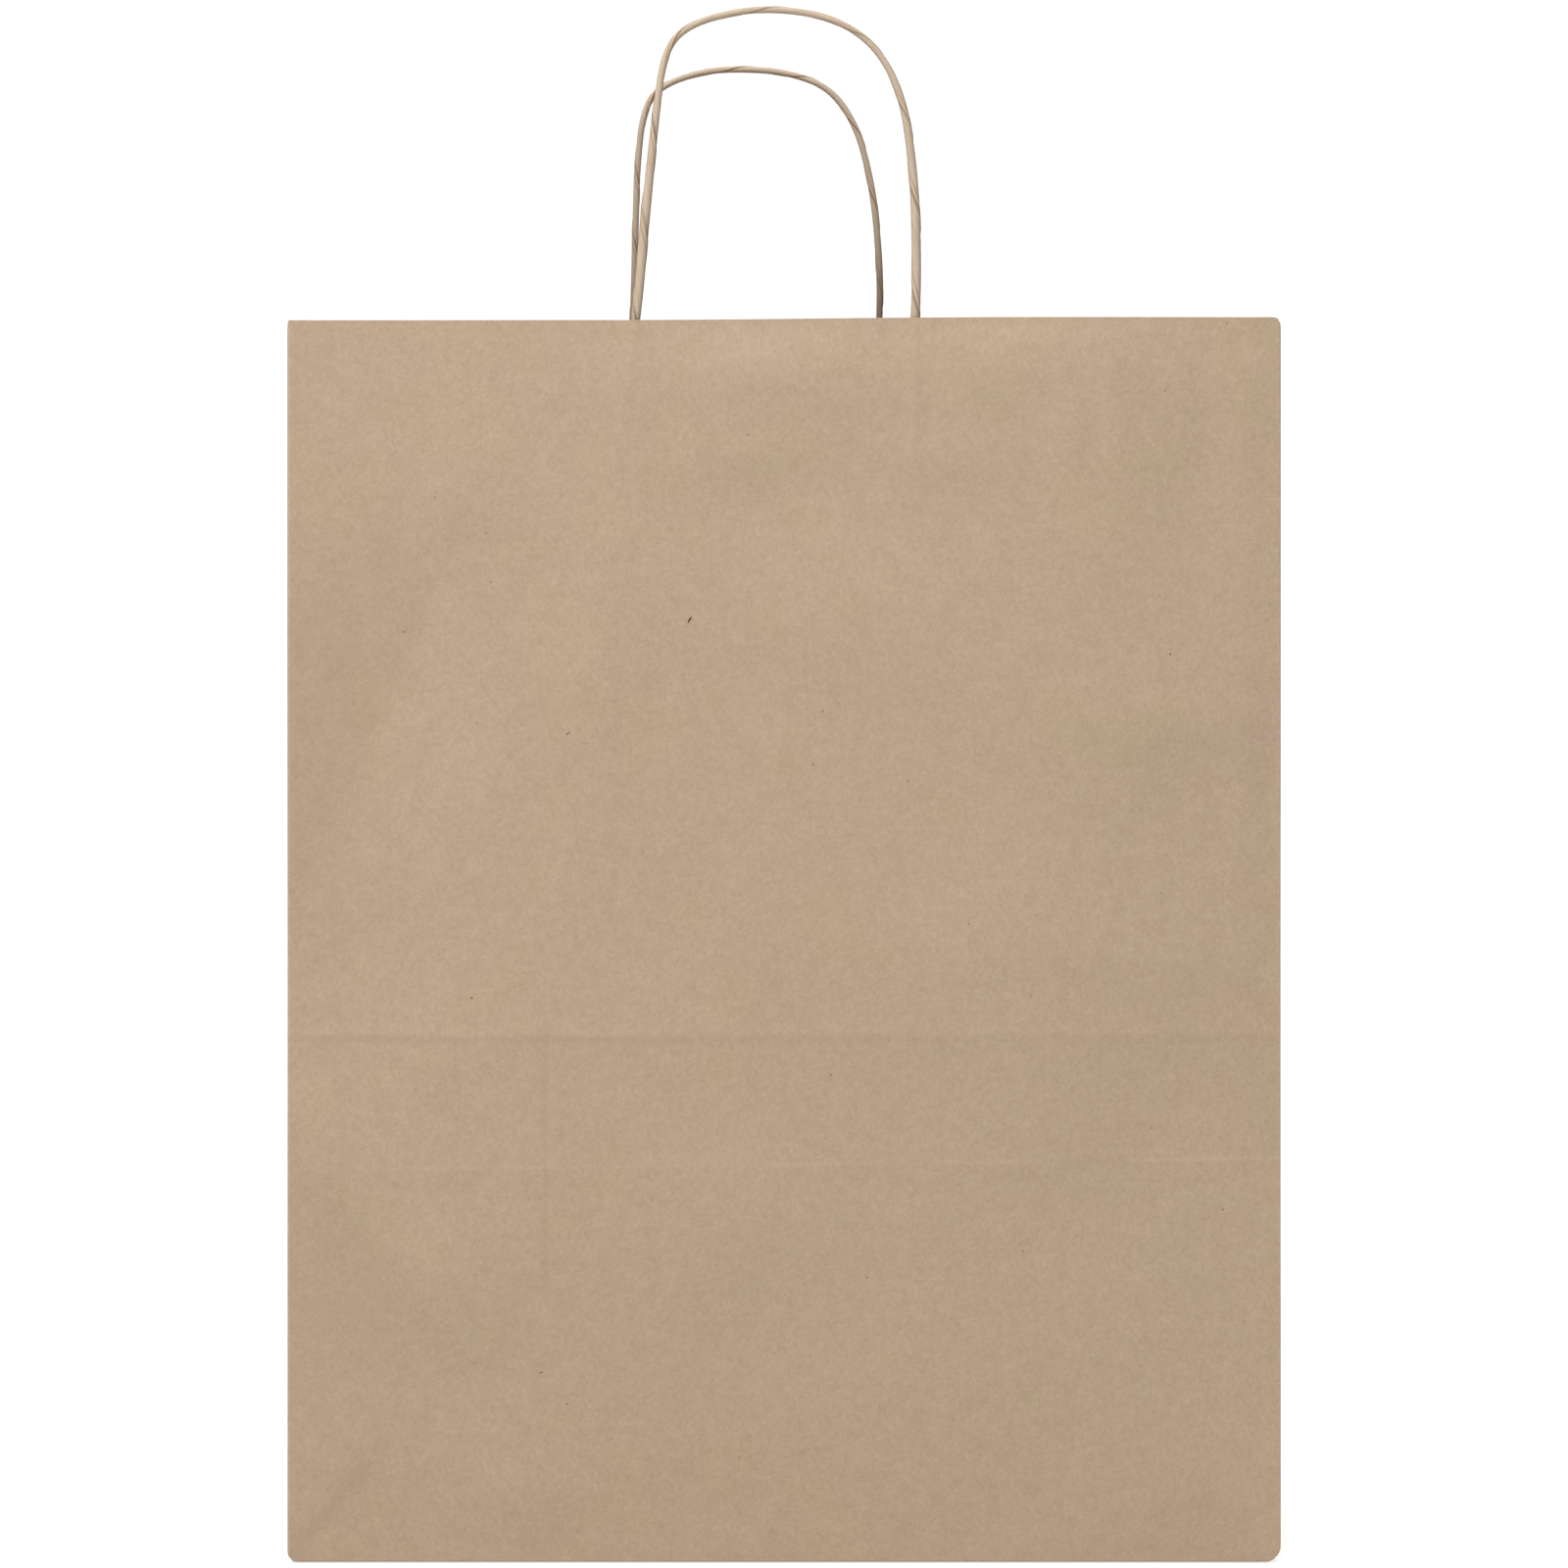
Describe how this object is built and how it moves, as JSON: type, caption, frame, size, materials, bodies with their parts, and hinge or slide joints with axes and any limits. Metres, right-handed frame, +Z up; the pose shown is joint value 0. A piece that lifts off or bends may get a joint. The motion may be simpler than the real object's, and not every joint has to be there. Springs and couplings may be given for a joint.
{
  "type": "gift bag",
  "caption": "Upright kraft paper carrier bag with gusseted sides, a folded block bottom and two twisted paper rope handles; it folds flat.",
  "frame": {"origin": "middle of the footprint, on the surface the bag stands on", "axes": "+Z up, X across the front, +Y from the front panel to the back panel"},
  "size_m": [0.32, 0.17, 0.5016],
  "materials": {
    "kraft_paper": "uncoated brown kraft, matt",
    "patch_paper": "uncoated brown kraft, matt",
    "twisted_paper": "tightly rolled kraft strip, smooth and matt"
  },
  "bodies": {
    "front_wall": {"front_panel": "kraft_paper", "front_hem": "kraft_paper", "front_patch_base": "patch_paper", "front_patch_cover": "patch_paper", "front_handle_left_tail": "twisted_paper", "front_handle_right_tail": "twisted_paper"},
    "left_gusset_front": {"left_gusset_front": "kraft_paper", "left_gusset_front_hem": "kraft_paper"},
    "left_gusset_back": {"left_gusset_back": "kraft_paper", "left_gusset_back_hem": "kraft_paper"},
    "right_gusset_front": {"right_gusset_front": "kraft_paper", "right_gusset_front_hem": "kraft_paper"},
    "right_gusset_back": {"right_gusset_back": "kraft_paper", "right_gusset_back_hem": "kraft_paper"},
    "back_wall": {"back_panel": "kraft_paper", "back_hem": "kraft_paper", "side_seam_lap": "kraft_paper", "back_patch_base": "patch_paper", "back_patch_cover": "patch_paper", "back_handle_left_tail": "twisted_paper", "back_handle_right_tail": "twisted_paper"},
    "back_strip": {"back_fold_strip": "kraft_paper"},
    "bottom": {"bottom_back_flap": "kraft_paper", "bottom_front_flap": "kraft_paper", "bottom_left_flap": "kraft_paper", "bottom_right_flap": "kraft_paper"},
    "left_triangle": {"left_gusset_triangle": "kraft_paper"},
    "right_triangle": {"right_gusset_triangle": "kraft_paper"},
    "front_handle": {"front_handle_loop": "twisted_paper"},
    "back_handle": {"back_handle_loop": "twisted_paper"}
  },
  "joints": [
    {"name": "fold_flat", "type": "hinge", "parent": "front_wall", "child": "left_gusset_front", "pos_m": [-0.1598, -0.0848, 0.2], "axis": [0, 0, -1], "range_deg": [0, 87]},
    {"name": "left_centre_crease", "type": "hinge", "parent": "left_gusset_front", "child": "left_gusset_back", "pos_m": [-0.16, 0, 0.2], "axis": [0, 0, 1], "range_deg": [0, 174]},
    {"name": "left_back_crease", "type": "hinge", "parent": "left_gusset_back", "child": "back_wall", "pos_m": [-0.1598, 0.0848, 0.2], "axis": [0, 0, -1], "range_deg": [0, 87]},
    {"name": "right_front_crease", "type": "hinge", "parent": "front_wall", "child": "right_gusset_front", "pos_m": [0.1598, -0.0848, 0.2], "axis": [0, 0, 1], "range_deg": [0, 87]},
    {"name": "right_centre_crease", "type": "hinge", "parent": "right_gusset_front", "child": "right_gusset_back", "pos_m": [0.16, 0, 0.2], "axis": [0, 0, -1], "range_deg": [0, 174]},
    {"name": "back_half_crease", "type": "hinge", "parent": "back_wall", "child": "back_strip", "pos_m": [0, 0.085, 0.085], "axis": [1, 0, 0], "range_deg": [0, 174]},
    {"name": "bottom_back_crease", "type": "hinge", "parent": "back_strip", "child": "bottom", "pos_m": [0, 0.0845, 0.00075], "axis": [-1, 0, 0], "range_deg": [0, 87]},
    {"name": "left_triangle_crease", "type": "hinge", "parent": "bottom", "child": "left_triangle", "pos_m": [-0.1593, 0, 0.00075], "axis": [0, 1, 0], "range_deg": [0, 87]},
    {"name": "right_triangle_crease", "type": "hinge", "parent": "bottom", "child": "right_triangle", "pos_m": [0.1593, 0, 0.00075], "axis": [0, -1, 0], "range_deg": [0, 87]},
    {"name": "front_handle_swing", "type": "hinge", "parent": "front_wall", "child": "front_handle", "pos_m": [0, -0.08288, 0.403], "axis": [1, 0, 0], "range_deg": [-45, 110]},
    {"name": "back_handle_swing", "type": "hinge", "parent": "back_wall", "child": "back_handle", "pos_m": [0, 0.08288, 0.403], "axis": [-1, 0, 0], "range_deg": [-45, 110]}
  ],
  "couplings": [
    {"joint": "left_centre_crease", "follows": "fold_flat", "ratio": 2},
    {"joint": "left_back_crease", "follows": "fold_flat", "ratio": 1},
    {"joint": "right_front_crease", "follows": "fold_flat", "ratio": 1},
    {"joint": "right_centre_crease", "follows": "fold_flat", "ratio": 2},
    {"joint": "back_half_crease", "follows": "fold_flat", "ratio": 2},
    {"joint": "bottom_back_crease", "follows": "fold_flat", "ratio": 1},
    {"joint": "left_triangle_crease", "follows": "fold_flat", "ratio": 1},
    {"joint": "right_triangle_crease", "follows": "fold_flat", "ratio": 1}
  ]
}
